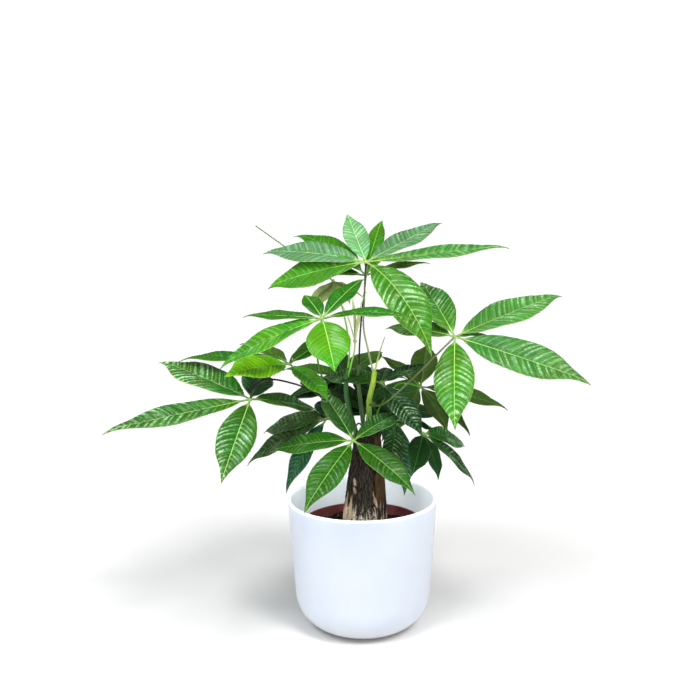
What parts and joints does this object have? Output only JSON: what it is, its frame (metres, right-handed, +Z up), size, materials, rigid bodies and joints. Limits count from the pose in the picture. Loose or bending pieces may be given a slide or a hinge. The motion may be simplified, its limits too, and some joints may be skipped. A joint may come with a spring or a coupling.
{
  "type": "potted money tree",
  "caption": "Potted money tree: a thick stump trunk with young shoots and hand-shaped leaves, in a nursery pot inside a round-bottomed white planter",
  "frame": {"origin": "middle of the planter's flat underside, where it rests on a table", "axes": "+Z up along the planter's axis, +X to the right along the widest spread of the leaves, +Y to the back"},
  "size_m": [0.469, 0.3257, 0.4456],
  "materials": {
    "glaze": "white satin glaze with a faint blue tint",
    "nursery_plastic": "dark red-brown moulded plastic",
    "soil": "dark crumbly potting soil with a few pale bits",
    "bark": "grey-brown fissured bark with paler scars",
    "green_stem": "smooth young stem, yellow-green to mid green",
    "leaf_bright": "glossy quilted leaf, bright green with paler veins",
    "leaf_mid": "glossy quilted leaf, mid green",
    "leaf_deep": "glossy quilted leaf, dark blue-green",
    "leaf_olive": "leaf turned away from the light, olive green",
    "leaf_pale": "soft young leaf, pale grey-green to cream-green"
  },
  "bodies": {
    "root": {"planter": "glaze", "nursery_pot": "nursery_plastic", "soil": "soil", "trunk": "bark", "shoot_main": "green_stem", "shoot_left": "green_stem", "shoot_back": "green_stem", "leaf_crown": "leaf_bright", "leaf_crown_back": "leaf_mid", "leaf_bright": "leaf_bright", "leaf_right": "leaf_bright", "leaf_left": "leaf_bright", "leaf_left_upper": "leaf_mid", "leaf_front": "leaf_mid", "leaf_left_low": "leaf_deep", "leaf_right_mid": "leaf_olive", "leaf_right_low": "leaf_deep", "leaf_centre": "leaf_deep", "leaf_hanging": "leaf_deep", "leaf_inner": "leaf_deep", "leaf_young_grey": "leaf_pale", "leaf_young_pale": "leaf_pale", "leaf_back_olive": "leaf_olive", "leaf_back_left": "leaf_deep", "leaf_back_low": "leaf_deep"}
  },
  "joints": []
}
